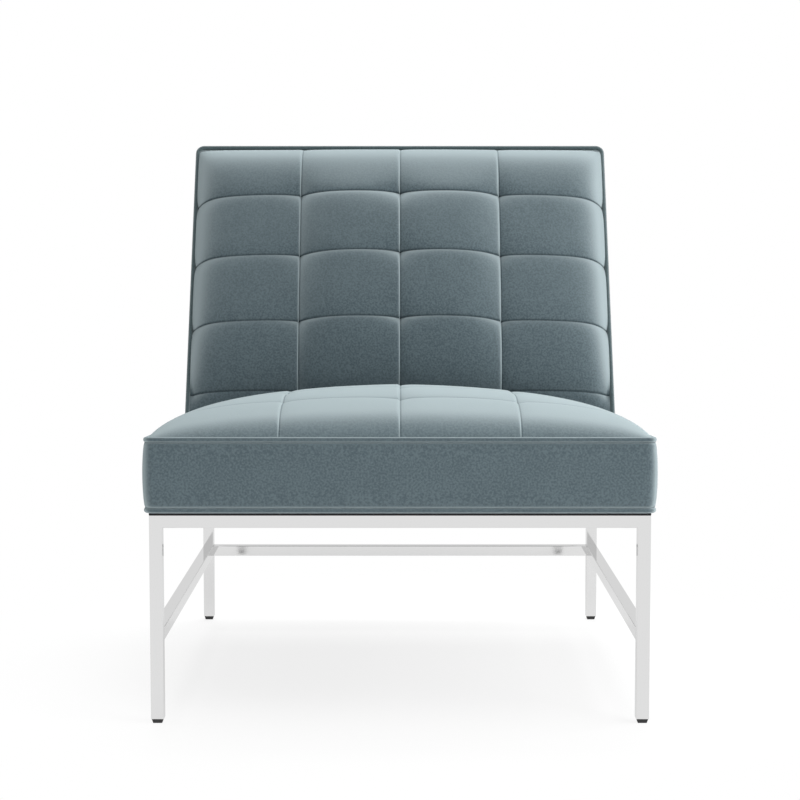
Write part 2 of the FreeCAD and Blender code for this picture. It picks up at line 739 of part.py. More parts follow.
def cord(points, radius, closed):
    """A cord of narrow flat sides through straight runs and bends of given radius."""
    edges = []
    cursor = points[0][0]
    count = len(points)
    if closed:
        cursor = (points[0][0] + points[-1][0]) * 0.5
    start = cursor
    stops = range(count) if closed else range(1, count - 1)
    for k in stops:
        here, bend = points[k]
        before = (cursor - here).normalize()
        after = (points[(k + 1) % count][0] - here).normalize()
        angle = before.getAngle(after)
        reach = bend / math.tan(angle / 2)
        enter = here + before * reach
        leave = here + after * reach
        centre_way = (before + after).normalize()
        middle = here + centre_way * (bend / math.sin(angle / 2) - bend)
        edges.append(Part.LineSegment(cursor, enter).toShape())
        edges.append(Part.Arc(enter, middle, leave).toShape())
        cursor = leave
    last = start if closed else points[-1][0]
    edges.append(Part.LineSegment(cursor, last).toShape())
    path = Part.Wire(edges)
    heading = edges[0].tangentAt(edges[0].FirstParameter)
    outward = heading.cross(Vector(1, 0, 0))
    if outward.Length < 0.1:
        outward = Vector(0, 1, 0)
    corner = outward.normalize() * radius
    turns = [Rotation(heading, 360 * k / cord_sides) for k in range(cord_sides)]
    corners = [start + turn.multVec(corner) for turn in turns]
    profile = Part.makePolygon(corners + corners[:1])
    return path.makePipeShell([profile], True, False)


welt_x = float(half_cushion - welt_radius)
seat_bend = float(seat_corner - welt_radius)
back_bend = float(back_corner - welt_radius)
rear_bend = float(rear_corner)
radius = float(welt_radius)


def across_x(point, sign):
    return point + Vector(sign * welt_x, 0, 0)


base_front = Vector(0, float(welt_radius - front_overhang), float(felt_top) + radius)
base_rear = Vector(0, float(frame_depth + rear_overhang - welt_radius), float(felt_top) + radius)
part_feature("base_welt", cord([(across_x(base_front, -1), seat_bend),
                                (across_x(base_front, 1), seat_bend),
                                (across_x(base_rear, 1), rear_bend),
                                (across_x(base_rear, -1), rear_bend)], radius, True))

seat_line = seat_origin + along_seat * radius
end_share = (on_back_plane(2 * welt_radius, 0) - seat_origin).dot(out_of_back)
seat_line_end = seat_origin + along_seat * (end_share / along_seat.dot(out_of_back))
part_feature("seat_welt", cord([(across_x(seat_line_end, -1), 0),
                                (across_x(seat_line, -1), seat_bend),
                                (across_x(seat_line, 1), seat_bend),
                                (across_x(seat_line_end, 1), 0)], radius, False))

welt_low = float(base_top + welt_radius / 2)
front_low = on_back_plane(0, welt_low)
front_high = back_origin + along_back * (float(back_rise) - radius)
part_feature("back_front_welt", cord([(across_x(front_low, -1), 0),
                                      (across_x(front_high, -1), back_bend),
                                      (across_x(front_high, 1), back_bend),
                                      (across_x(front_low, 1), 0)], radius, False))

rear_line_low = rear_foot + along_rear * ((welt_low - rear_foot.z) / along_rear.z)
rear_line_high = top_rear - along_rear * radius
part_feature("back_rear_welt", cord([(across_x(rear_line_low, -1), 0),
                                     (across_x(rear_line_high, -1), back_bend),
                                     (across_x(rear_line_high, 1), back_bend),
                                     (across_x(rear_line_low, 1), 0)], radius, False))

# Rear panel between the rear welts
panel_high = top_rear - along_rear * float(inset) - out_of_rear * face_in
panel_ring = ring(panel_high, rear_low, float(half_cushion - inset),
                  float(back_corner - inset))
panel = Part.Face(panel_ring).extrude(out_of_rear * float(panel_thick))
part_feature("back_rear_panel", panel)

# Wooden back frame: two wedge-shaped cheeks and two rails between them
full_wedge = wedge(frame_front, float(welt_radius + fit_gap), float(top_padding),
                   float(felt_top), block_inner)
thick = float(cheek_thick)
notch = Part.makeBox(2 * block_inner, float(frame_depth), float(wood_top),
                     Vector(-block_inner, block_rear, 0))
for side_name, sign in (("left", -1), ("right", 1)):
    slab = Part.makeBox(thick, 2 * float(frame_depth), 2 * top_front.z,
                        Vector(min(sign * block_inner, sign * (block_inner - thick)), 0, 0))
    cheek = full_wedge.common(slab).cut(notch)
    for spot in bolt_spots:
        cheek = cheek.cut(bolt_hole(sign, spot, float(bolt_diameter / 2 + screw_gap),
                                    block_inner - thick, thick))
    part_feature(f"back_cheek_{side_name}", cheek)

bolts = []
for sign in (-1, 1):
    for spot in bolt_spots:
        bolt_seat = spot + Vector(sign * (block_inner - thick), 0, 0)
        bolts.append(fastener(bolt_seat, Vector(sign, 0, 0), float(bolt_head),
                              float(bolt_head_thick), float(bolt_diameter),
                              thick + float(bolt_bite)))
part_feature("back_bolts", Part.makeCompound(bolts))

between_cheeks = block_inner - thick
back_rail_foot = float(lowest_row) - float(back_rail_height) / 2
back_rail_head = float(back_rise - top_padding - back_rail_height)
webbing_span = back_rail_head - back_rail_foot - float(back_rail_height)
for name, offset in (("top", back_rail_head), ("lower", back_rail_foot)):
    start = back_origin + along_back * offset - out_of_back * frame_front
    corners = [start, start + along_back * float(back_rail_height)]
    corners += [corners[1] - out_of_back * float(wood_thick),
                corners[0] - out_of_back * float(wood_thick)]
    shift = Vector(-between_cheeks, 0, 0)
    face = Part.Face(Part.makePolygon([p + shift for p in corners + corners[:1]]))
    part_feature(f"back_rail_{name}", face.extrude(Vector(2 * between_cheeks, 0, 0)))


# Webbing of the back, stretched over the front edges of the cheeks
def back_band(height):
    centre = back_origin + along_back * height - out_of_back * frame_front
    low_edge = centre - along_back * (float(webbing_width) / 2)
    corners = [low_edge, low_edge + along_back * float(webbing_width)]
    corners += [corners[1] + out_of_back * float(webbing_thick),
                corners[0] + out_of_back * float(webbing_thick)]
    half = block_inner - float(webbing_end)
    shift = Vector(-half, 0, 0)
    face = Part.Face(Part.makePolygon([p + shift for p in corners + corners[:1]]))
    return face.extrude(Vector(2 * half, 0, 0))


part_feature("back_webbing", bands(4, back_rail_foot + float(back_rail_height),
                                   webbing_span, back_band))

# Check everything, then write one file per sub-part
doc.recompute()
for thing in doc.Objects:
    if "Invalid" in thing.State or "Error" in thing.State:
        raise RuntimeError(f"{thing.Name} did not build: {thing.State}")
os.makedirs("parts", exist_ok=True)
whole = FreeCAD.BoundBox()
for thing in nodes:
    shape = thing.Shape
    if shape.isNull() or not shape.isValid():
        raise RuntimeError(f"{thing.Label} has no valid shape")
    whole.add(shape.BoundBox)
    print(f"{thing.Label}: {len(shape.Solids)} solids, {shape.Volume / 1000:.1f} cm3")
    shape.exportStep(f"parts/{thing.Label}.step")
print(f"{len(nodes)} sub-parts, X {whole.XMin:.2f} {whole.XMax:.2f}, "
      f"Y {whole.YMin:.2f} {whole.YMax:.2f}, Z {whole.ZMin:.2f} {whole.ZMax:.2f}")
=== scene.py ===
import math

import bpy
import numpy as np
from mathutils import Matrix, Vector


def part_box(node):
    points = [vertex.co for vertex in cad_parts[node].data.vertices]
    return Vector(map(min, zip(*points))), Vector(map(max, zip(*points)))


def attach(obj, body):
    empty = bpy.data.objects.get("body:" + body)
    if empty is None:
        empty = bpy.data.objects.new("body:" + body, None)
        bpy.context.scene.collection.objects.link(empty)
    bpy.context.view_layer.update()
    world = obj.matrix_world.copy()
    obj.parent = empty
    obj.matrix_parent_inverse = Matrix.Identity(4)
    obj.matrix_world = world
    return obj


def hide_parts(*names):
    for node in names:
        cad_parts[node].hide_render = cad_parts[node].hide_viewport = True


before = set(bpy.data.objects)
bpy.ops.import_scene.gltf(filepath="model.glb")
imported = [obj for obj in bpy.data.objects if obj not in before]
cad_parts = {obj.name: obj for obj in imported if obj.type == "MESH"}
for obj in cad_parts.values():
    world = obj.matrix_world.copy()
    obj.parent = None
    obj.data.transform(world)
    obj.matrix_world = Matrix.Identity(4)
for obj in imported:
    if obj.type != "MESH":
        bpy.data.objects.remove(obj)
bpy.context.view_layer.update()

# The base is welded from square steel tube, polished all over to a mirror: four legs,
# a ring of top rails mitred into them, and three stretchers. A small triangular tab of
# the same steel is welded into each corner of the ring, and it takes a screw.
MILLIMETRE = 0.001
steel_colour = (0.73, 0.73, 0.73, 1)
steel_edge = (0.80, 0.80, 0.80, 1)
steel_parts = [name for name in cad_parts
               if name.startswith(("leg_", "top_rail_", "stretcher_", "tab_"))]


def new_material(name, colour, roughness):
    """A node material, its node tree, its shader and a coordinate output in metres."""
    material = bpy.data.materials.new(name)
    material.use_nodes = True
    tree = material.node_tree
    shader = tree.nodes["Principled BSDF"]
    shader.inputs["Base Color"].default_value = colour
    shader.inputs["Roughness"].default_value = roughness
    place = tree.nodes.new("ShaderNodeTexCoord").outputs["Object"]
    return material, tree, shader, place


def noise(tree, place, grains_per_metre, detail=2.0):
    """Soft random grain; the scale is the number of grains in a metre."""
    node = tree.nodes.new("ShaderNodeTexNoise")
    node.inputs["Scale"].default_value = grains_per_metre
    node.inputs["Detail"].default_value = detail
    tree.links.new(place, node.inputs["Vector"])
    return node.outputs["Fac"]


def mapped(tree, value, start, end, low, high, smooth=False):
    """Low up to the start, high from the end on, and an even or a smooth run between them."""
    node = tree.nodes.new("ShaderNodeMapRange")
    if smooth:
        node.interpolation_type = "SMOOTHSTEP"
    node.inputs["From Min"].default_value = start
    node.inputs["From Max"].default_value = end
    node.inputs["To Min"].default_value = low
    node.inputs["To Max"].default_value = high
    tree.links.new(value, node.inputs["Value"])
    return node.outputs["Result"]


def spread(tree, grain, low, high):
    """A grain, which stays mostly between 0.3 and 0.7, stretched to run from low to high."""
    return mapped(tree, grain, start=0.3, end=0.7, low=low, high=high)


def emboss(tree, shader, value, depth):
    """Raise the surface by a grain of the given depth in metres."""
    node = tree.nodes.new("ShaderNodeBump")
    node.inputs["Distance"].default_value = depth
    tree.links.new(value, node.inputs["Height"])
    tree.links.new(node.outputs["Normal"], shader.inputs["Normal"])


def finish_nodes(names, material):
    """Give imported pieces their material."""
    for name in names:
        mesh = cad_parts[name].data
        mesh.materials.clear()
        mesh.materials.append(material)


steel, tree, shader, place = new_material("polished_steel", steel_colour, roughness=0.05)
shader.inputs["Metallic"].default_value = 1.0
shader.inputs["Specular Tint"].default_value = steel_edge
smear = noise(tree, place, grains_per_metre=9.0, detail=4.0)
tree.links.new(spread(tree, smear, low=0.03, high=0.075), shader.inputs["Roughness"])
emboss(tree, shader, noise(tree, place, grains_per_metre=45.0), depth=0.01 * MILLIMETRE)
finish_nodes(steel_parts, steel)

# Each leg ends in a glide of black moulded plastic: a foot that narrows to the floor
# and a plug that is pressed up into the tube. Its skin is finely grained by the mould.
plastic_colour = (0.012, 0.012, 0.013, 1)
plastic, tree, shader, place = new_material("black_plastic", plastic_colour, roughness=0.45)
skin = noise(tree, place, grains_per_metre=700.0)
tree.links.new(spread(tree, skin, low=0.38, high=0.55), shader.inputs["Roughness"])
emboss(tree, shader, noise(tree, place, grains_per_metre=1800.0, detail=3.0),
       depth=0.05 * MILLIMETRE)
finish_nodes([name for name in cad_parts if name.startswith("glide_")], plastic)

# Strips of black felt are glued on the top rails, so that the seat lies on them without
# a rattle, and a square of the same felt sits round each mounting screw.
# The felt's black is partly painted shade: it darkens the thin gap between seat and rails.
felt_dark = (0.010, 0.010, 0.011, 1)
felt_pale = (0.035, 0.036, 0.038, 1)


def mixed(tree, share, first, second):
    """A colour that runs from the first to the second as the share runs from 0 to 1.

    Either one is a fixed colour or the output of another node.
    """
    node = tree.nodes.new("ShaderNodeMix")
    node.data_type = "RGBA"
    for side, colour in (("A", first), ("B", second)):
        if isinstance(colour, tuple):
            node.inputs[side].default_value = colour
        else:
            tree.links.new(colour, node.inputs[side])
    tree.links.new(share, node.inputs["Factor"])
    return node.outputs["Result"]


def shade(tree, shader, share, dark, pale):
    """Colour the surface from dark to pale as the share runs from 0 to 1."""
    tree.links.new(mixed(tree, share, dark, pale), shader.inputs["Base Color"])


felt, tree, shader, place = new_material("black_felt", felt_dark, roughness=1.0)
shader.inputs["Specular IOR Level"].default_value = 0.1
shade(tree, shader, noise(tree, place, grains_per_metre=1400.0, detail=4.0), felt_dark, felt_pale)
emboss(tree, shader, noise(tree, place, grains_per_metre=900.0, detail=5.0),
       depth=0.5 * MILLIMETRE)
finish_nodes([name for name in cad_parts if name.startswith("felt_")], felt)

# The underside of the seat is closed by a dust cover of thin black non-woven cloth,
# pressed with a fine pattern of dots and stapled to the wooden frame behind the rails.
dust_dark = (0.006, 0.006, 0.007, 1)
dust_pale = (0.022, 0.022, 0.024, 1)
dots_per_metre = 420.0
dust, tree, shader, place = new_material("dust_cloth", dust_dark, roughness=0.9)
shader.inputs["Specular IOR Level"].default_value = 0.15
dots = tree.nodes.new("ShaderNodeTexVoronoi")
dots.inputs["Scale"].default_value = dots_per_metre
dots.inputs["Randomness"].default_value = 0.25
tree.links.new(place, dots.inputs["Vector"])
shade(tree, shader, noise(tree, place, grains_per_metre=260.0, detail=5.0), dust_dark, dust_pale)
emboss(tree, shader, dots.outputs["Distance"], depth=0.3 * MILLIMETRE)
finish_nodes(["dust_cover"], dust)

# Four zinc-plated screws come up through the tabs into the seat's corner blocks, and
# four zinc-plated bolts hold the back's cheeks against the seat's long rails.
zinc_colour = (0.58, 0.59, 0.60, 1)
zinc, tree, shader, place = new_material("zinc_steel", zinc_colour, roughness=0.35)
shader.inputs["Metallic"].default_value = 1.0
spangle = noise(tree, place, grains_per_metre=400.0, detail=4.0)
tree.links.new(spread(tree, spangle, low=0.28, high=0.45), shader.inputs["Roughness"])
emboss(tree, shader, noise(tree, place, grains_per_metre=1200.0), depth=0.03 * MILLIMETRE)
finish_nodes(["mounting_screws", "back_bolts"], zinc)

# The frame inside is raw beech: a box of rails with glued corner blocks under the seat,
# and two wedge-shaped cheeks with two rails between them in the back. It stays hidden.
beech_dark = (0.36, 0.21, 0.11, 1)
beech_pale = (0.62, 0.43, 0.26, 1)
grain_stretch = (1.0, 0.12, 1.0)
rings_scale = 55.0
beech, tree, shader, place = new_material("beech", beech_pale, roughness=0.6)
stretch = tree.nodes.new("ShaderNodeMapping")
stretch.inputs["Scale"].default_value = grain_stretch
tree.links.new(place, stretch.inputs["Vector"])
rings = tree.nodes.new("ShaderNodeTexWave")
rings.inputs["Scale"].default_value = rings_scale
rings.inputs["Distortion"].default_value = 7.0
rings.inputs["Detail"].default_value = 3.0
tree.links.new(stretch.outputs["Vector"], rings.inputs["Vector"])
shade(tree, shader, rings.outputs["Fac"], beech_dark, beech_pale)
emboss(tree, shader, rings.outputs["Fac"], depth=0.2 * MILLIMETRE)
wooden = [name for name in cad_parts
          if name.startswith(("seat_rail_", "corner_blocks", "back_cheek_", "back_rail_"))]
finish_nodes(wooden, beech)

# Woven webbing is stretched over the frame, two layers under the seat and one up the
# back. Its yarns run across each other, and it carries the foam.
yarn_dark = (0.10, 0.085, 0.065, 1)
yarn_pale = (0.36, 0.31, 0.24, 1)
yarns_per_metre = 260.0
webbing, tree, shader, place = new_material("webbing", yarn_pale, roughness=0.9)
weave = tree.nodes.new("ShaderNodeTexChecker")
weave.inputs["Scale"].default_value = yarns_per_metre
weave.inputs["Color1"].default_value = yarn_dark
weave.inputs["Color2"].default_value = yarn_pale
tree.links.new(place, weave.inputs["Vector"])
tree.links.new(weave.outputs["Color"], shader.inputs["Base Color"])
emboss(tree, shader, weave.outputs["Fac"], depth=0.3 * MILLIMETRE)
finish_nodes([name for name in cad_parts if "webbing" in name], webbing)

# The seat's boxing is one band of velvet sewn round the front and both sides of the
# foam, between the base welt and the seat welt. The foam swells it, its front corners
# are rounded, and behind, the foam is cut to the slope of the back.
welt_radius = 4.0 * MILLIMETRE
sewing_gap = 0.4 * MILLIMETRE
close_gap = 0.2 * MILLIMETRE
seat_welt_low, seat_welt_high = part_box("seat_welt")
base_welt_low, base_welt_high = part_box("base_welt")
_, back_welt_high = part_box("back_front_welt")
half_width = seat_welt_high.x
seat_fall = math.radians(3.0)
along_seat = np.array([0.0, math.cos(seat_fall), -math.sin(seat_fall)])
out_of_seat = np.array([0.0, math.sin(seat_fall), math.cos(seat_fall)])
seat_edge = np.array([0.0, seat_welt_low.y, seat_welt_high.z - welt_radius])
back_lean = math.radians(25.95)
along_back = np.array([0.0, math.sin(back_lean), math.cos(back_lean)])
out_of_back = np.array([0.0, -math.cos(back_lean), math.sin(back_lean)])
back_edge = np.array([0.0, back_welt_high.y - welt_radius, back_welt_high.z - welt_radius])
seat_corner = 14.0 * MILLIMETRE
seat_swell = 3.4 * MILLIMETRE
swell_shape = 0.7
boxing_inset = 1.4 * MILLIMETRE
boxing_low = base_welt_high.z + close_gap
rear_clearance = 6.0 * MILLIMETRE
velvet_deep = (0.068, 0.092, 0.104, 1)
velvet_pale = (0.098, 0.130, 0.144, 1)
# The next colour tints the sheen and is also painted in as sheen, and black paints the shade in
# the seams.
velvet_sheen_colour = (0.262, 0.313, 0.328, 1)
seam_shade_black = (0.0, 0.0, 0.0, 1)
kept_in_seam_shade = 0.25
full_sheen_glance = 0.60
pile_sheen = 0.12


def combined(tree, operation, first, second, clamp=False):
    """One number from two by the named arithmetic, kept between 0 and 1 if it is clamped."""
    node = tree.nodes.new("ShaderNodeMath")
    node.operation = operation
    node.use_clamp = clamp
    tree.links.new(first, node.inputs[0])
    tree.links.new(second, node.inputs[1])
    return node.outputs["Value"]


def velvet_material(name, deep, pale, sheen_colour):
    """Short velvet: a mottled pile, brushed here and there, with a painted sheen.

    The more the cloth turns away from the eye, the more its colour is mixed with the sheen
    colour, and fully from the full glance on: painted sheen. The mesh attribute seam paints
    light and shade at the seams. It runs from -1, painted shade that leaves only the kept
    share of the colour, to 1, a painted highlight in the sheen colour. It is 0 on the rest of the
    cloth.
    """
    material, tree, shader, place = new_material(name, deep, roughness=0.95)
    shader.inputs["Specular IOR Level"].default_value = 0.12
    shader.inputs["Sheen Weight"].default_value = pile_sheen
    shader.inputs["Sheen Roughness"].default_value = 0.38
    shader.inputs["Sheen Tint"].default_value = sheen_colour
    pile = noise(tree, place, grains_per_metre=320.0, detail=3.0)
    brushed = noise(tree, place, grains_per_metre=26.0, detail=4.0)
    mottle = combined(tree, "ADD", spread(tree, pile, low=-0.75, high=0.75),
                      spread(tree, brushed, low=0.36, high=0.64))
    cloth = mixed(tree, mottle, deep, pale)
    # Painted sheen: the colour turns toward the sheen colour as the cloth turns away from the
    # eye.
    glance = tree.nodes.new("ShaderNodeLayerWeight")
    glance.inputs["Blend"].default_value = 0.5
    glance_sheen_share = mapped(tree, glance.outputs["Facing"], start=0.0, end=full_sheen_glance,
                         low=0.0, high=1.0, smooth=True)
    # The seam attribute adds a painted highlight and paints shade toward black at the seams.
    seam = tree.nodes.new("ShaderNodeAttribute")
    seam.attribute_name = "seam"
    painted_sheen_share = combined(tree, "ADD", glance_sheen_share, seam.outputs["Fac"], clamp=True)
    painted_sheen_cloth = mixed(tree, painted_sheen_share, cloth, sheen_colour)
    unshaded_share = mapped(tree, seam.outputs["Fac"], start=-1.0, end=0.0,
                        low=kept_in_seam_shade, high=1.0)
    shade(tree, shader, unshaded_share, seam_shade_black, painted_sheen_cloth)
    emboss(tree, shader, pile, depth=0.3 * MILLIMETRE)
    return material


velvet = velvet_material("blue_grey_velvet", velvet_deep, velvet_pale, velvet_sheen_colour)


def grid_faces(rows, columns, closed=False):
    """Corner numbers of the quads of a grid, joined round its rows if it is closed."""
    numbers = np.arange(rows * columns).reshape(rows, columns)
    if closed:
        numbers = np.hstack([numbers, numbers[:, :1]])
    return np.stack([numbers[:-1, :-1], numbers[:-1, 1:], numbers[1:, 1:], numbers[1:, :-1]],
                    axis=-1).reshape(-1, 4)


def mesh_object(name, points, faces, material):
    """A smooth mesh object at the origin from arrays of points and of corner numbers."""
    mesh = bpy.data.meshes.new(name)
    mesh.from_pydata(points.reshape(-1, 3).tolist(), [], faces)
    mesh.polygons.foreach_set("use_smooth", np.ones(len(mesh.polygons), dtype=bool))
    mesh.materials.append(material)
    mesh.update()
    piece = bpy.data.objects.new(name, mesh)
    bpy.context.scene.collection.objects.link(piece)
    return piece


def rounded_run(half, depth, radius, swell, per_corner=10, per_side=40):
    """A plan outline, left rear to left front to right front to right rear, y from the front.

    Straight sides join a straight front by quarter circles, and all of it lies outside the
    plain outline by swell.
    """
    turn = np.linspace(0, math.pi / 2, per_corner)
    side = np.linspace(depth, radius, per_side)[:-1]
    front = np.linspace(-half + radius, half - radius, 2 * per_side)[1:-1]
    left_x = np.concatenate([np.full(side.size, -half - swell),
                             -half + radius - (radius + swell) * np.cos(turn)])
    left_y = np.concatenate([side, radius - (radius + swell) * np.sin(turn)])
    return np.concatenate([np.stack([left_x, left_y], 1),
                           np.stack([front, np.full(front.size, -swell)], 1),
                           np.stack([-left_x[::-1], left_y[::-1]], 1)])


def boxed_body(name, outline_at, material, steps=25):
    """A closed body whose outlines are stacked from low to high, capped by its end outlines."""
    rings = np.stack([outline_at(share) for share in np.linspace(0, 1, steps)])
    rows, columns = rings.shape[:2]
    faces = grid_faces(rows, columns, closed=True)[:, ::-1].tolist()
    faces.append(list(range(columns)))
    faces.append(list(range((rows - 1) * columns, rows * columns))[::-1])
    return mesh_object(name, rings, faces, material)


def swelling(share):
    """0 at both welts and 1 between them, rising fastest beside the welts."""
    return (4 * share * (1 - share)) ** swell_shape


def seat_outline(share):
    """The boxing's outline at a share of its height, from base welt to seat welt.

    It ends behind at the slope of the back, and its upper edge falls with the seat.
    """
    high = seat_edge[2] - welt_radius - sewing_gap
    z = boxing_low + (high - boxing_low) * share
    rear = back_edge[1] + (z - back_edge[2]) * math.tan(back_lean) - rear_clearance
    front = seat_edge[1] + boxing_inset
    plan = rounded_run(half_width - boxing_inset, rear - front, seat_corner,
                       seat_swell * swelling(share))
    tilt = (plan[:, 1] - plan[:, 1].min()) * math.tan(seat_fall) * share
    return np.stack([plan[:, 0], plan[:, 1] + front, z - tilt], axis=1)


seat_boxing = boxed_body("seat_boxing", seat_outline, velvet)
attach(seat_boxing, "root")
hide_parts("seat_core")

# The seat's top is a pad of velvet over foam, sewn through in four columns and five rows.
# The seams ride over the foam and are pulled down where they cross. The seam allowance
# makes each upright seam steep on its left, and the pad curls down to its welt.
column_pitch = 176.0 * MILLIMETRE
columns_at = [-column_pitch, 0.0, column_pitch]
row_pitch = 120.0 * MILLIMETRE
first_row = 111.0 * MILLIMETRE
seat_rows = [first_row + row_pitch * k for k in range(4)]
seat_length = 562.0 * MILLIMETRE
pad_inset = 4.5 * MILLIMETRE
pad_half = half_width - pad_inset
hair = 0.001 * MILLIMETRE
# The seat is covered with a paler copy of the velvet, which makes it lighter than the back.
seat_deep = (0.086, 0.116, 0.130, 1)
seat_pale = (0.121, 0.160, 0.176, 1)
seat_sheen_colour = (0.292, 0.347, 0.362, 1)
seat_velvet = velvet_material("seat_velvet", seat_deep, seat_pale, seat_sheen_colour)

# How the thread draws the pad in. A seam's valley fades over one reach before the seam and
# another after it, and a dip over one reach across and another down. Three quarters of a
# dip are wide and the rest is tight, and a level valley is half as deep in the outer columns.
upright_reach = (1.8 * MILLIMETRE, 8.5 * MILLIMETRE)
level_reach = (6.0 * MILLIMETRE, 4.2 * MILLIMETRE)
wide_reach = (34.0 * MILLIMETRE, 18.0 * MILLIMETRE)
tight_reach = (12.0 * MILLIMETRE, 8.0 * MILLIMETRE)
rim_reach = (60.0 * MILLIMETRE, 14.0 * MILLIMETRE)
wide_share = 0.75
outer_share = 0.50
column_blend = 8.0 * MILLIMETRE
thin_pad = 8.0 * MILLIMETRE
to_right = np.array([1.0, 0.0, 0.0])
# The strength of the painted light at the seams: a painted highlight on each upright seam's lip,
# and painted shade at its foot and along each level seam.
lip_highlight = 0.48
foot_shade = 0.30
line_shade = 0.60


def spaced(stops, per_cell):
    """Places between stops, closer together near each stop."""
    share = (1 - np.cos(np.linspace(0, math.pi, per_cell))) / 2
    cells = [low + (high - low) * share[:-1] for low, high in zip(stops[:-1], stops[1:])]
    return np.concatenate(cells + [stops[-1:]])


def climb(distance, quick, quick_reach, slow, slow_reach):
    """A rise that starts steeply and flattens: the sum of two falling exponentials."""
    return (quick * (1 - np.exp(-distance / quick_reach))
            + slow * (1 - np.exp(-distance / slow_reach)))


def crease(offset, before, after):
    """A sewn valley: 1 on the seam, fading over one reach before it and another after."""
    return np.exp(np.where(offset < 0, offset / before, -offset / after))


def dimple(across, down, reach):
    """A pointed dip: 1 at its middle, fading over one reach across and another down."""
    return np.exp(-np.abs(across) / reach[0] - np.abs(down) / reach[1])


def sewn(height, u, v, half, rows, upright_groove, level_groove, centre_dip, side_dip, rim_dip):
    """The pad's height once its seams have pulled it down.

    They pull by the deeper of the two valleys that pass near a place, by a dip round each
    crossing, and by one where a level seam runs out at the rim. The pull eases off where
    the pad is thin.
    """
    inner = np.clip((column_pitch - np.abs(u)) / column_blend, 0, 1)
    upright = sum(crease(u - column, *upright_reach) for column in columns_at)
    level = sum(crease(v - row, *level_reach) for row in rows)
    level = level * (outer_share + (1 - outer_share) * inner)
    depth = np.maximum(upright_groove * upright, level_groove * level)
    for row in rows:
        for column, dip in zip(columns_at, (side_dip, centre_dip, side_dip)):
            wide = dimple(u - column, v - row, wide_reach)
            tight = dimple(u - column, v - row, tight_reach)
            depth += dip * (wide_share * wide + (1 - wide_share) * tight)
        depth += rim_dip * dimple(half - np.abs(u), v - row, rim_reach)
    return height - depth * np.clip(height / thin_pad, 0, 1)


def band(offset, centre, width):
    """A soft line: 1 at its centre, fading to nothing within about twice its width."""
    return np.exp(-((offset - centre) / width) ** 2)


def seam_light_and_shade(u, v, rows):
    """The velvet's seam attribute, painted light and shade: a painted highlight on the lip left
    of an upright seam, painted shade at its foot on the right, and a line of painted shade along
    a level seam."""
    lip = sum(band(u - column, centre=-1.0 * MILLIMETRE, width=0.7 * MILLIMETRE)
              for column in columns_at)
    foot = sum(band(u - column, centre=1.0 * MILLIMETRE, width=0.9 * MILLIMETRE)
               for column in columns_at)
    line = sum(band(v - row, centre=-1.0 * MILLIMETRE, width=1.4 * MILLIMETRE) for row in rows)
    return lip_highlight * lip - np.clip(foot_shade * foot + line_shade * line * (1 - lip), 0, 1)


def pad_object(name, u, v, height, painted_marks, origin, along, out, under, material):
    """A closed pad: its sewn face over the grid of u and v, a skirt and a flat underside."""
    def at(across, down, lift):
        """The places that lie so far across, down and out from the pad's origin."""
        return (origin + across[..., None] * to_right
                + down[..., None] * along + lift[..., None] * out)

    rows, columns = u.shape
    numbers = np.arange(rows * columns).reshape(rows, columns)
    rim = np.concatenate([numbers[0], numbers[1:, -1], numbers[-1, -2::-1],
                          numbers[-2:0:-1, 0]])
    foot = at(u.ravel()[rim], v.ravel()[rim], np.full(rim.size, -under))
    ring = np.arange(rim.size) + rows * columns
    skirt = np.stack([rim, ring, np.roll(ring, -1), np.roll(rim, -1)], 1)
    faces = grid_faces(rows, columns).tolist() + skirt.tolist() + [ring[::-1].tolist()]
    points = np.concatenate([at(u, v, height).reshape(-1, 3), foot])
    piece = mesh_object(name, points, faces, material)
    # The seam attribute carries the painted highlight and painted shade of the seams.
    values = np.zeros(len(points))
    values[:painted_marks.size] = painted_marks.ravel()
    seam = piece.data.attributes.new("seam", "FLOAT", "POINT")
    seam.data.foreach_set("value", values)
    return piece


def pad_grid(down_line, across_line, corner):
    """Places u across and v down a pad, and its half width there, less at rounded corners.

    A corner of radius r takes r - sqrt(r^2 - (r - v)^2) from the half width over its first r.
    """
    v, share = np.meshgrid(down_line, across_line, indexing="ij")
    radius = corner - pad_inset
    inside = np.clip(radius - v, 0, radius)
    half = pad_half - (radius - np.sqrt(radius ** 2 - inside ** 2))
    return share * half, v, half


def off_the_edges(u, v, half):
    """How far places lie from the middle and from the edge, kept a hair off the edges, so
    that every climb is over zero and has a negative power."""
    return np.clip(np.abs(u), 0, half - hair), np.clip(v, hair, None)


def seat_height(u, v, half):
    """The seat pad's height over the plane of its welt.

    It is the smooth lesser of a climb from the nearer side and a climb from the front. Past
    the crown it falls as a parabola, and it drops steeply into the crease at the rear.
    """
    full_side, side_power = 70.0 * MILLIMETRE, 0.65
    sharpness = 8
    crown_at, rear_run, rear_fall = 226.0 * MILLIMETRE, 335.0 * MILLIMETRE, 0.253
    crease_reach = 36.0 * MILLIMETRE
    side = climb(half - u, quick=18.4 * MILLIMETRE, quick_reach=15.6 * MILLIMETRE,
                 slow=62.4 * MILLIMETRE, slow_reach=139.5 * MILLIMETRE)
    front = climb(v, quick=31.2 * MILLIMETRE, quick_reach=16.6 * MILLIMETRE,
                  slow=104.3 * MILLIMETRE, slow_reach=331.6 * MILLIMETRE)
    front = front * (side / full_side) ** side_power
    lesser = (side ** -sharpness + front ** -sharpness) ** (-1 / sharpness)
    fall = 1 - rear_fall * np.clip((v - crown_at) / rear_run, 0, 1) ** 2
    rear = 1 - np.exp(-(seat_length - v) / crease_reach)
    return lesser * fall * rear


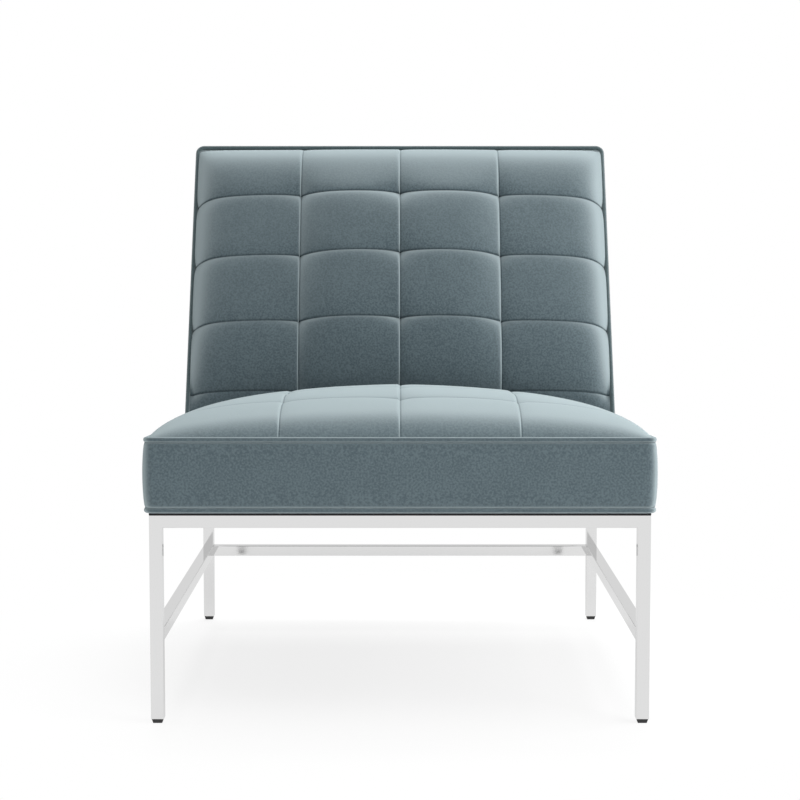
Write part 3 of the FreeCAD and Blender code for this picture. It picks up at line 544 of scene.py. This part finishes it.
down_line = spaced(np.array([0.0] + seat_rows + [seat_length]), per_cell=54)
across_line = spaced(np.array([-pad_half] + columns_at + [pad_half]) / pad_half, per_cell=64)
u, v, half = pad_grid(down_line, across_line, seat_corner)
height = sewn(seat_height(*off_the_edges(u, v, half), half), u, v, half, seat_rows,
              upright_groove=2.6 * MILLIMETRE, level_groove=1.8 * MILLIMETRE,
              centre_dip=10.8 * MILLIMETRE, side_dip=5.7 * MILLIMETRE, rim_dip=0.0)
seat_pad = pad_object("seat_pad_cover", u, v, height, seam_light_and_shade(u, v, seat_rows),
                      seat_edge + along_seat * pad_inset, along_seat, out_of_seat,
                      welt_radius - close_gap, seat_velvet)
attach(seat_pad, "root")
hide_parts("seat_pad")

# A welt is a cord wrapped in a strip of the same velvet and sewn into a seam. One runs
# round the foot of seat and back, one along the seat's top edge, and two up the back.
welt_deep = (0.068, 0.092, 0.104, 1)
welt_pale = (0.090, 0.120, 0.132, 1)
welt_velvet = velvet_material("welt_velvet", welt_deep, welt_pale, velvet_sheen_colour)
welt_x = half_width - welt_radius
aside = np.array([welt_x, 0.0, 0.0])
straight_up = np.array([0.0, 0.0, 1.0])
seat_bend = seat_corner - welt_radius
rear_bend = 6.0 * MILLIMETRE


def rounded_path(corners, bends, closed=False, arc_step=0.0022, straight_step=0.012, arc_least=6):
    """Points along straight runs joined by arcs of the given radii, no further apart than the
    two steps in metres allow, except that a small arc has its least number of points."""
    corners = [np.array(c, float) for c in corners]
    count = len(corners)
    points = []
    inner = range(count) if closed else range(1, count - 1)
    if not closed:
        points.append(corners[0])
    for k in inner:
        here = corners[k]
        before = corners[k - 1] - here
        after = corners[(k + 1) % count] - here
        before = before / np.linalg.norm(before)
        after = after / np.linalg.norm(after)
        angle = math.acos(np.clip(before @ after, -1, 1))
        reach = bends[k] / math.tan(angle / 2)
        middle_way = (before + after) / np.linalg.norm(before + after)
        centre = here + middle_way * bends[k] / math.sin(angle / 2)
        start = here + before * reach - centre
        end = here + after * reach - centre
        turn = math.pi - angle
        share = np.linspace(0, 1, max(arc_least, int(bends[k] * turn / arc_step)))[:, None]
        arc = (np.sin((1 - share) * turn) * start + np.sin(share * turn) * end) / math.sin(turn)
        points.extend(centre + arc)
    if not closed:
        points.append(corners[-1])
    line = np.array(points)
    following = np.roll(line, -1, axis=0) if closed else line[1:]
    starts = line if closed else line[:-1]
    fine = []
    for start, end in zip(starts, following):
        parts = max(1, int(np.linalg.norm(end - start) / straight_step))
        fine.append(start + (end - start) * (np.arange(parts) / parts)[:, None])
    if not closed:
        fine.append(line[-1:])
    return np.concatenate(fine)


def welt(name, path, out, material, closed=False, around=20):
    """A round cord: circles set square to the path, turned so that they keep one side out."""
    ahead = np.roll(path, -1, axis=0) - np.roll(path, 1, axis=0)
    if not closed:
        ahead[0] = path[1] - path[0]
        ahead[-1] = path[-1] - path[-2]
    ahead /= np.linalg.norm(ahead, axis=1)[:, None]
    side = np.cross(ahead, out)
    side /= np.linalg.norm(side, axis=1)[:, None]
    up = np.cross(side, ahead)
    angle = np.linspace(0, 2 * math.pi, around, endpoint=False)
    rings = (path[:, None, :] + welt_radius * (side[:, None, :] * np.cos(angle)[None, :, None]
                                               + up[:, None, :] * np.sin(angle)[None, :, None]))
    rows = rings.shape[0]
    if closed:
        faces = (grid_faces(rows + 1, around, closed=True) % (rows * around)).tolist()
    else:
        faces = grid_faces(rows, around, closed=True).tolist()
        faces.append(list(range(around))[::-1])
        faces.append(list(range((rows - 1) * around, rows * around)))
    piece = mesh_object(name, rings, faces, material)
    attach(piece, "root")
    return piece


base_z = (base_welt_low.z + base_welt_high.z) / 2
base_front = base_welt_low.y + welt_radius
base_rear = base_welt_high.y - welt_radius
base_path = rounded_path([(-welt_x, base_front, base_z), (welt_x, base_front, base_z),
                          (welt_x, base_rear, base_z), (-welt_x, base_rear, base_z)],
                         [seat_bend, seat_bend, rear_bend, rear_bend], closed=True)
base_welt = welt("base_welt_cord", base_path, straight_up, welt_velvet, closed=True)
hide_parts("base_welt")

seat_line_front = seat_edge + along_seat * welt_radius
seat_line_run = seat_welt_high.y - seat_line_front[1]
seat_line_rear = seat_line_front + along_seat * seat_line_run / along_seat[1]
seat_path = rounded_path([seat_line_rear - aside, seat_line_front - aside,
                          seat_line_front + aside, seat_line_rear + aside],
                         [0, seat_bend, seat_bend, 0])
seat_welt = welt("seat_welt_cord", seat_path, out_of_seat, welt_velvet)
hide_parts("seat_welt")

# The back is a wedge of foam on its own wooden frame, boxed like the seat and standing
# behind it on the base. Its band of velvet runs up one side, over the top and down the
# other, between the front welt and the rear welt.
_, rear_welt_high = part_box("back_rear_welt")
back_corner = 15.0 * MILLIMETRE
back_swell = 3.0 * MILLIMETRE
rear_ease = 0.5 * MILLIMETRE
rear_edge = np.array([0.0, rear_welt_high.y - welt_radius, rear_welt_high.z - welt_radius])
rear_lean = math.atan2(rear_edge[1] - base_welt_high.y + rear_ease,
                       rear_edge[2] - base_welt_low.z)
along_rear = np.array([0.0, math.sin(rear_lean), math.cos(rear_lean)])
out_of_rear = np.array([0.0, math.cos(rear_lean), -math.sin(rear_lean)])


def down_to(height, edge, along):
    """The place at a height on the line that runs from an edge along a slope."""
    return edge + along * (height - edge[2]) / along[2]


def back_outline(share):
    """The back's outline at a share of its thickness, from front welt to rear welt.

    Its top lies on the line between the two edges, and its foot on the line between the
    places where both slopes reach the base welt.
    """
    inset = welt_radius + sewing_gap
    front_top = back_edge - out_of_back * inset
    rear_top = rear_edge - out_of_rear * inset
    along = along_back * (1 - share) + along_rear * share
    top = front_top * (1 - share) + rear_top * share + along * (welt_radius - boxing_inset)
    low = (down_to(boxing_low, front_top, along_back) * (1 - share)
           + down_to(boxing_low, rear_top, along_rear) * share)
    depth = np.linalg.norm(low - top)
    plan = rounded_run(half_width - boxing_inset, depth, back_corner,
                       back_swell * swelling(share))
    return top + plan[:, :1] * to_right + plan[:, 1:] * (low - top) / depth


back_boxing = boxed_body("back_boxing", back_outline, velvet)
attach(back_boxing, "root")
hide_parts("back_core")

# The back's front is a tufted pad like the seat's, and its level seams were sewn at
# slightly uneven distances. Its two inner columns stand fuller than the outer ones, its
# seams are pulled in harder, and behind the seat plain velvet runs on down to the base.
back_rows = [row * MILLIMETRE for row in (119.8, 237.5, 360.5, 481.0)]
back_length = 521.0 * MILLIMETRE


def back_height(u, v, half):
    """The back pad's height over its welt's plane; v runs down from the top edge.

    Across, it climbs from both sides to a crown that is fuller between the outer seams.
    From the top edge it folds forward within a short reach, shortest in the inner columns,
    and on top of that it rises at one gentle slope until it bends over at the crown.
    """
    inner_rise, inner_onset = 20.5 * MILLIMETRE, 40.0 * MILLIMETRE
    fold_share = 0.72
    outer_fold, inner_fold = 21.0 * MILLIMETRE, 19.5 * MILLIMETRE
    outer_slope, inner_slope = 0.20, 0.27
    outer_bend, inner_bend = 4, 8
    foot_reach = 70.0 * MILLIMETRE
    side = climb(half - u, quick=47.0 * MILLIMETRE, quick_reach=18.5 * MILLIMETRE,
                 slow=20.0 * MILLIMETRE, slow_reach=105.0 * MILLIMETRE)
    full = np.clip(1 - (u / column_pitch) ** 4, 0, 1)
    crown = side + inner_rise * full * np.clip(side / inner_onset, 0, 1)
    fold = fold_share * side
    fold_reach = outer_fold + (inner_fold - outer_fold) * full
    slope = outer_slope + (inner_slope - outer_slope) * full
    bend = outer_bend + (inner_bend - outer_bend) * full
    gentle = ((slope * v) ** -bend + (crown - fold) ** -bend) ** (-1 / bend)
    top = fold * (1 - np.exp(-v / fold_reach)) + gentle
    low = 1 - np.exp(-(back_length - v) / foot_reach)
    return top * low


down_line = spaced(np.array([0.0] + back_rows + [back_length]), per_cell=54)
u, v, half = pad_grid(down_line, across_line[::-1], back_corner)
height = sewn(back_height(*off_the_edges(u, v, half), half), u, v, half, back_rows,
              upright_groove=4.0 * MILLIMETRE, level_groove=2.2 * MILLIMETRE,
              centre_dip=18.0 * MILLIMETRE, side_dip=11.7 * MILLIMETRE,
              rim_dip=10.0 * MILLIMETRE)
back_pad = pad_object("back_pad_cover", u, v, height, seam_light_and_shade(u, v, back_rows),
                      back_edge - along_back * pad_inset, -along_back, out_of_back,
                      welt_radius - close_gap, velvet)
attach(back_pad, "root")
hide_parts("back_pad")

# The back's two welts are the same cord: one edges its tufted front, and one edges the
# plain rear, each running up one side, round the top corners and down the other side.
# Both welts take a darker copy of the velvet: painted shade that makes them darker than the cloth
# beside them.
shaded_deep = (0.056, 0.079, 0.084, 1)
shaded_pale = (0.073, 0.102, 0.107, 1)
shaded_sheen_colour = (0.170, 0.200, 0.208, 1)
shaded_velvet = velvet_material("back_welt_velvet", shaded_deep, shaded_pale, shaded_sheen_colour)
back_bend = back_corner - welt_radius
cord_low = boxing_low + 2.0 * MILLIMETRE


def up_and_over(edge, along):
    """A path up the left side of the back, along its top edge and down its right side."""
    foot = down_to(cord_low, edge, along)
    return rounded_path([foot - aside, edge - aside, edge + aside, foot + aside],
                        [0, back_bend, back_bend, 0])


front_path = up_and_over(back_edge, along_back)
front_welt = welt("back_front_cord", front_path, out_of_back, shaded_velvet)
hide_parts("back_front_welt")
rear_path = up_and_over(rear_edge, along_rear)
rear_welt = welt("back_rear_cord", rear_path, out_of_rear, shaded_velvet)
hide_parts("back_rear_welt")

# The rear panel is a plain board under velvet, pulled tight and pressed in between the
# rear welt. A thin layer of wadding makes it swell slightly: across, by 1 less the fourth
# power of the share of its half width, and down, by the root of half a sine wave.
panel_swell = 3.0 * MILLIMETRE
panel_sunk = 2.6 * MILLIMETRE
panel_board = 3.0 * MILLIMETRE
panel_rows, panel_columns = 60, 90
panel_top = rear_edge - along_rear * pad_inset - out_of_rear * panel_sunk
panel_length = (panel_top[2] - boxing_low) / along_rear[2]
u, v, half = pad_grid(np.linspace(0, panel_length, panel_rows),
                      np.linspace(-1, 1, panel_columns), back_corner)
bulge_across = 1 - (u / half) ** 4
bulge_down = np.sin(math.pi * np.clip(v / panel_length, 0, 1)) ** 0.5
rear_panel = pad_object("rear_panel_cover", u, v, panel_swell * bulge_across * bulge_down,
                        np.zeros_like(u), panel_top, -along_rear, out_of_rear, panel_board,
                        velvet)
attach(rear_panel, "root")
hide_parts("back_rear_panel")

# The chair stands in a white studio. The floor is a pale sheet that goes over into the
# white backdrop, and it keeps the chair's soft shadow.
floor_half = 6.0
floor_grey = (0.90, 0.90, 0.90, 1)
white = (1, 1, 1, 1)
shadow_share = 0.21
shadow_full_within = 0.30
shadow_gone_beyond = 0.85
floor_points = np.array([(-floor_half, -floor_half, 0), (floor_half, -floor_half, 0),
                         (floor_half, floor_half, 0), (-floor_half, floor_half, 0)], float)


def looked_at(tree):
    """1 for rays that show a surface, straight, mirrored or through glass, 0 for its light."""
    light_path = tree.nodes.new("ShaderNodeLightPath")
    total = light_path.outputs["Is Camera Ray"]
    for way in ("Is Glossy Ray", "Is Transmission Ray"):
        total = combined(tree, "MAXIMUM", total, light_path.outputs[way])
    return total


floor_material, tree, shader, place = new_material("studio_floor", floor_grey, roughness=0.9)
shader.inputs["Specular IOR Level"].default_value = 0.0
glow = tree.nodes.new("ShaderNodeEmission")
glow.inputs["Color"].default_value = white
glow.inputs["Strength"].default_value = 1.0
from_middle = tree.nodes.new("ShaderNodeVectorMath")
from_middle.operation = "LENGTH"
tree.links.new(place, from_middle.inputs[0])
paleness = mapped(tree, from_middle.outputs["Value"], start=shadow_full_within,
                  end=shadow_gone_beyond, low=1 - shadow_share, high=1.0, smooth=True)
mix = tree.nodes.new("ShaderNodeMixShader")
tree.links.new(combined(tree, "MULTIPLY", looked_at(tree), paleness), mix.inputs["Fac"])
tree.links.new(shader.outputs["BSDF"], mix.inputs[1])
tree.links.new(glow.outputs["Emission"], mix.inputs[2])
tree.links.new(mix.outputs["Shader"], tree.nodes["Material Output"].inputs["Surface"])
floor = mesh_object("studio_floor", floor_points, [[0, 1, 2, 3]], floor_material)

# The backdrop is the white room itself. It shows white to the eye and in the steel, and
# lights the chair softly from all round at a lower level.
room_level = 0.34
room = bpy.data.worlds.new("white_room")
bpy.context.scene.world = room
room.use_nodes = True
tree = room.node_tree
background = tree.nodes["Background"]
background.inputs["Color"].default_value = white
level = mapped(tree, looked_at(tree), start=0.0, end=1.0, low=room_level, high=1.0)
tree.links.new(level, background.inputs["Strength"])

# Five softboxes light the chair: one high on the right in front, a broad low one in front,
# a large one overhead behind that brings out the crowns, one level with the right side and
# a faint one level with the left side. The polished tubes don't mirror them.
lamps = {
    # Its place, the place that it faces, the length of its side and its power in watts.
    "left_softbox": ((-2.3, 0.0, 1.0), (0.0, 0.1, 0.5), 1.4, 7.5),
    "key_softbox": ((1.9, -1.2, 2.2), (0.0, 0.0, 0.55), 1.5, 43.0),
    "front_softbox": ((0.0, -3.0, 0.6), (0.0, 0.0, 0.45), 1.8, 39.0),
    "overhead_softbox": ((0.0, 1.4, 2.8), (0.0, 0.0, 0.5), 2.0, 91.0),
    "side_softbox": ((2.3, 0.0, 1.0), (0.0, 0.1, 0.5), 1.4, 29.0),
}
for name, (spot, target, side, power) in lamps.items():
    data = bpy.data.lights.new(name, "AREA")
    data.shape = "SQUARE"
    data.size = side
    data.energy = power
    lamp = bpy.data.objects.new(name, data)
    lamp.location = spot
    lamp.visible_glossy = False
    lamp.rotation_euler = (Vector(target) - Vector(spot)).to_track_quat("-Z", "Y").to_euler()
    bpy.context.scene.collection.objects.link(lamp)

# The camera stands in front of the middle of the chair, a little above the seat, and
# looks slightly down on it. Its tilt is measured up from looking straight down.
camera_place = (0.0, -3.2602, 0.7127)
camera_tilt = math.radians(85.213)
sensor_millimetres = 36.0
lens_millimetres = 88.38
camera_data = bpy.data.cameras.new("camera")
camera_data.sensor_width = sensor_millimetres
camera_data.lens = lens_millimetres
camera = bpy.data.objects.new("camera", camera_data)
camera.location = camera_place
camera.rotation_euler = (camera_tilt, 0.0, 0.0)
bpy.context.scene.collection.objects.link(camera)
bpy.context.scene.camera = camera
bpy.context.scene.view_settings.view_transform = "Standard"
